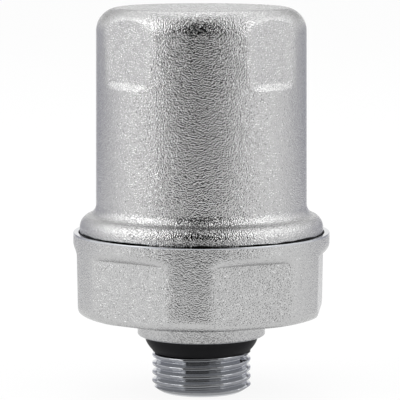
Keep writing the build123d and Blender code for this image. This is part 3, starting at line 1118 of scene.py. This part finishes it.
class ARRESTOR_OT_piston(bpy.types.Operator):
    """Builds the acetal piston with its grooves, spring pocket and notched foot"""

    bl_idname = "arrestor.piston"
    bl_label = "Piston"

    def execute(self, context):
        settings = context.scene.arrestor
        sizes = settings.piston
        low = PISTON_FOOT + sizes.foot_height
        pocket = sizes.pocket_diameter / 2
        floor = low + sizes.floor
        edge = sizes.edge
        groove = PISTON_RADIUS - sizes.groove_depth
        outline = [*straight((0, low), (PISTON_RADIUS - edge, low), 8)]
        outline += arc((PISTON_RADIUS - edge, low + edge), edge, -90, 0, 6)
        for middle in (low + sizes.groove_distance, PISTON_TOP - sizes.groove_distance):
            start, end = middle - sizes.groove_width / 2, middle + sizes.groove_width / 2
            outline += [(PISTON_RADIUS, start), (groove, start), (groove, end), (PISTON_RADIUS, end)]
        outline += arc((PISTON_RADIUS - edge, PISTON_TOP - edge), edge, 0, 90, 6)
        outline += [(pocket, PISTON_TOP), (pocket, floor + 0.8 * MM), (pocket - 0.8 * MM, floor), (0, floor)]
        piece = turned("acetal_piston", outline, 192)
        skin = bmesh.new()
        skin.from_mesh(piece.data)
        outer = sizes.foot_diameter / 2
        inner = outer - sizes.foot_width
        for foot in range(sizes.foot_gaps):
            start = 2 * math.pi * foot / sizes.foot_gaps
            end = 2 * math.pi * (foot + 1) / sizes.foot_gaps
            section = []
            for i in range(17):
                corners = []
                for radius in (inner, outer):
                    trim = math.asin(sizes.foot_gap / 2 / radius)
                    turn = start + trim + (end - start - 2 * trim) * i / 16
                    for height in (PISTON_FOOT, low):
                        spot = (radius * math.cos(turn), radius * math.sin(turn), height)
                        corners.append(skin.verts.new(spot))
                section.append((corners[0], corners[2], corners[3], corners[1]))
            for one, other in zip(section, section[1:]):
                for i in range(4):
                    after = (i + 1) % 4
                    skin.faces.new((one[i], one[after], other[after], other[i]))
            skin.faces.new(section[0])
            skin.faces.new(reversed(section[-1]))
        bmesh.ops.recalc_face_normals(skin, faces=skin.faces)
        skin.to_mesh(piece.data)
        skin.free()
        piece.data.set_sharp_from_angle(angle=math.radians(38))
        acetal = material_once(machined_acetal, settings.finish)
        dressed(piece, MOVING, ["piston"], [acetal])
        return {"FINISHED"}


class ARRESTOR_OT_spring(bpy.types.Operator):
    """Builds the counter spring"""

    bl_idname = "arrestor.spring"
    bl_label = "Counter Spring"

    def execute(self, context):
        settings = context.scene.arrestor
        sizes = settings.spring
        steel = material_once(drawn_spring_wire, settings.finish)
        turns = sizes.active_turns + 2 * sizes.end_turns
        piece = baked(
            "wound_spring",
            spring_tree(),
            {
                "Wire Radius": sizes.wire / 2,
                "Coil Radius": sizes.mean_diameter / 2,
                "Low": SPRING_LOW,
                "High": ROOF,
                "Active Turns": float(sizes.active_turns),
                "End Turns": float(sizes.end_turns),
                "End Height": sizes.wire * sizes.closeness * sizes.end_turns,
                "Steps": turns * 64 + 1,
                "Material": steel,
            },
        )
        dressed(piece, HOUSING, ["counter_spring"], [steel])
        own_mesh(piece)
        return {"FINISHED"}


def facing(azimuth, distance, height):
    """Place at a distance in a direction, 0 at the camera's side and positive to the right."""
    turn = math.radians(azimuth)
    return Vector((distance * math.sin(turn), -distance * math.cos(turn), height))


def area_lamp(name, place, aim, width, height, brightness):
    """An area lamp that looks at a point, with the brightness of its face given, where 1 is white."""
    data = bpy.data.lights.new(name, "AREA")
    data.shape = "RECTANGLE"
    data.size = width
    data.size_y = height
    data.energy = brightness * math.pi * width * height
    lamp = bpy.data.objects.new(name, data)
    lamp.location = place
    lamp.rotation_euler = (Vector(aim) - place).to_track_quat("-Z", "Y").to_euler()
    lamp.visible_camera = False
    bpy.context.scene.collection.objects.link(lamp)


def card(name, place, aim, width, height, level, blue=1.0):
    """A plain card beside the object that only its reflections show, at a grey level where 1 is white."""
    material = bpy.data.materials.new(name)
    material.use_nodes = True
    tree = material.node_tree
    tree.nodes.clear()
    output = add_node(tree, "ShaderNodeOutputMaterial")
    face = add_node(tree, "ShaderNodeEmission", {"Color": (level, level, level * blue, 1), "Strength": 1.0})
    tree.links.new(face.outputs["Emission"], output.inputs["Surface"])
    data = bpy.data.meshes.new(name)
    across, up = width / 2, height / 2
    corners = [(-across, -up, 0), (across, -up, 0), (across, up, 0), (-across, up, 0)]
    data.from_pydata(corners, [], [(0, 1, 2, 3)])
    data.materials.append(material)
    flag = bpy.data.objects.new(name, data)
    flag.location = place
    flag.rotation_euler = (Vector(aim) - place).to_track_quat("-Z", "Y").to_euler()
    flag.visible_camera = False
    flag.visible_diffuse = False
    flag.visible_shadow = False
    bpy.context.scene.collection.objects.link(flag)


class ARRESTOR_OT_stage(bpy.types.Operator):
    """Builds the floor, the lamps, the surroundings and the camera"""

    bl_idname = "arrestor.stage"
    bl_label = "Stage"

    def execute(self, context):
        scene = context.scene
        settings = scene.arrestor
        sizes = settings.stage
        scene.view_settings.view_transform = "Standard"

        pale = bpy.data.materials.new("pale_floor")
        pale.use_nodes = True
        tree = pale.node_tree
        tree.nodes.clear()
        output = add_node(tree, "ShaderNodeOutputMaterial")
        path = add_node(tree, "ShaderNodeLightPath")
        seen = add_node(
            tree,
            "ShaderNodeMath",
            {0: path.outputs["Is Camera Ray"], 1: path.outputs["Is Glossy Ray"]},
            operation="MAXIMUM",
        )
        shown = add_node(
            tree,
            "ShaderNodeMath",
            {0: seen.outputs[0], 1: path.outputs["Is Transmission Ray"]},
            operation="MAXIMUM",
        )
        share = add_node(tree, "ShaderNodeMath", {0: shown.outputs[0], 1: 0.88}, operation="MULTIPLY")
        matt = add_node(tree, "ShaderNodeBsdfDiffuse", {"Color": (*settings.finish.floor, 1)})
        glow = add_node(tree, "ShaderNodeEmission", {"Color": (*settings.finish.floor, 1), "Strength": 1.0})
        mix = add_node(
            tree, "ShaderNodeMixShader", {0: share.outputs[0], 1: matt.outputs[0], 2: glow.outputs[0]}
        )
        tree.links.new(mix.outputs[0], output.inputs["Surface"])
        data = bpy.data.meshes.new("floor")
        reach = 4.0
        data.from_pydata(
            [(-reach, -reach, 0), (reach, -reach, 0), (reach, reach, 0), (-reach, reach, 0)], [], [(0, 1, 2, 3)]
        )
        data.materials.append(pale)
        floor = bpy.data.objects.new("floor", data)
        scene.collection.objects.link(floor)

        world = bpy.data.worlds.new("pale_surroundings")
        world.use_nodes = True
        tree = world.node_tree
        tree.nodes.clear()
        output = add_node(tree, "ShaderNodeOutputWorld")
        path = add_node(tree, "ShaderNodeLightPath")
        seen = add_node(
            tree,
            "ShaderNodeMath",
            {0: path.outputs["Is Camera Ray"], 1: path.outputs["Is Glossy Ray"]},
            operation="MAXIMUM",
        )
        shown = add_node(
            tree,
            "ShaderNodeMath",
            {0: seen.outputs[0], 1: path.outputs["Is Transmission Ray"]},
            operation="MAXIMUM",
        )
        dim = add_node(tree, "ShaderNodeBackground", {"Color": (*settings.finish.floor, 1), "Strength": 0.8})
        white = add_node(tree, "ShaderNodeBackground", {"Color": (*settings.finish.floor, 1), "Strength": 1.0})
        mix = add_node(tree, "ShaderNodeMixShader", {0: shown.outputs[0], 1: dim.outputs[0], 2: white.outputs[0]})
        tree.links.new(mix.outputs[0], output.inputs["Surface"])
        scene.world = world

        middle = Vector((0, 0, 0.06))
        low = Vector((0, 0, 0.0045))
        card("front_card", facing(-4, 0.45, 0.505), Vector((0, 0, 0.505)), 0.84, 1.0, 0.004)
        card("thread_card", facing(-8, 0.0165, 0.0045), low, 0.014, 0.008, 0.1)
        card("thread_side_card", facing(26, 0.0175, 0.0045), low, 0.008, 0.008, 0.24)
        card("left_thread_card", facing(-75, 0.018, 0.0045), low, 0.024, 0.008, 0.45, 1.06)
        card("right_thread_card", facing(75, 0.019, 0.0045), low, 0.024, 0.008, 0.45, 1.06)
        card("near_floor_card", Vector((0, 0, 0.0004)), Vector((0, 0, 1)), 0.04, 0.038, 0.48)
        card("front_floor_card", Vector((0, -0.43, 0.0012)), Vector((0, -0.43, 1)), 0.5, 0.26, 0.16)
        card("top_card", Vector((0, -0.14, 0.8)), middle, 0.4, 0.4, 0.04)
        card("back_card", facing(180, 0.4, 0.16), Vector((0, 0, 0.16)), 0.5, 0.08, 0.25)
        card("left_back_card", facing(-138, 0.25, 0.045), Vector((0, 0, 0.045)), 0.24, 0.09, 0.5, 1.1)
        card("right_back_card", facing(138, 0.25, 0.045), Vector((0, 0, 0.045)), 0.24, 0.09, 0.5, 1.1)
        area_lamp("left_softbox", facing(-70, 0.7, 0.56), middle, 0.44, 0.74, 2.2)
        area_lamp("right_softbox", facing(66, 0.7, 0.6), middle, 0.38, 0.66, 1.9)
        area_lamp("back_softbox", facing(180, 0.6, 0.8), middle, 0.26, 0.5, 1.8)
        area_lamp("left_side_softbox", facing(-108, 0.7, 0.62), middle, 0.3, 0.3, 1.3)
        area_lamp("right_side_softbox", facing(108, 0.7, 0.62), middle, 0.3, 0.3, 1.3)

        data = bpy.data.cameras.new("camera")
        data.lens = sizes.lens
        data.sensor_fit = "HORIZONTAL"
        data.sensor_width = 36
        data.clip_start = 0.01
        data.clip_end = 50
        camera = bpy.data.objects.new("camera", data)
        camera.location = (sizes.camera_side, -sizes.camera_distance, sizes.camera_height)
        camera.rotation_euler = (math.pi / 2 - sizes.camera_tilt, 0, 0)
        scene.collection.objects.link(camera)
        scene.camera = camera
        return {"FINISHED"}


PIECES = (
    ARRESTOR_OT_thread,
    ARRESTOR_OT_body,
    ARRESTOR_OT_cap,
    ARRESTOR_OT_seal,
    ARRESTOR_OT_rings,
    ARRESTOR_OT_piston,
    ARRESTOR_OT_spring,
    ARRESTOR_OT_stage,
)


class ARRESTOR_PT_panel(bpy.types.Panel):
    """Lists the pieces of the arrestor"""

    bl_idname = "ARRESTOR_PT_panel"
    bl_label = "Water Hammer Arrestor"
    bl_space_type = "VIEW_3D"
    bl_region_type = "UI"
    bl_category = "Arrestor"

    def draw(self, context):
        for piece in PIECES:
            self.layout.operator(piece.bl_idname)


GROUPS = (
    ThreadSizes,
    BodySizes,
    CapSizes,
    SealSizes,
    PistonSizes,
    RingSizes,
    SpringSizes,
    FinishColours,
    StageSizes,
    ArrestorSettings,
)


def register():
    for group in (*GROUPS, *PIECES, ARRESTOR_PT_panel):
        bpy.utils.register_class(group)
    bpy.types.Scene.arrestor = PointerProperty(type=ArrestorSettings)


def unregister():
    del bpy.types.Scene.arrestor
    for group in reversed((*GROUPS, *PIECES, ARRESTOR_PT_panel)):
        bpy.utils.unregister_class(group)


def main():
    """Builds every piece and the stage."""
    register()
    for piece in PIECES:
        group, name = piece.bl_idname.split(".")
        getattr(getattr(bpy.ops, group), name)()


if __name__ == "__main__":
    main()
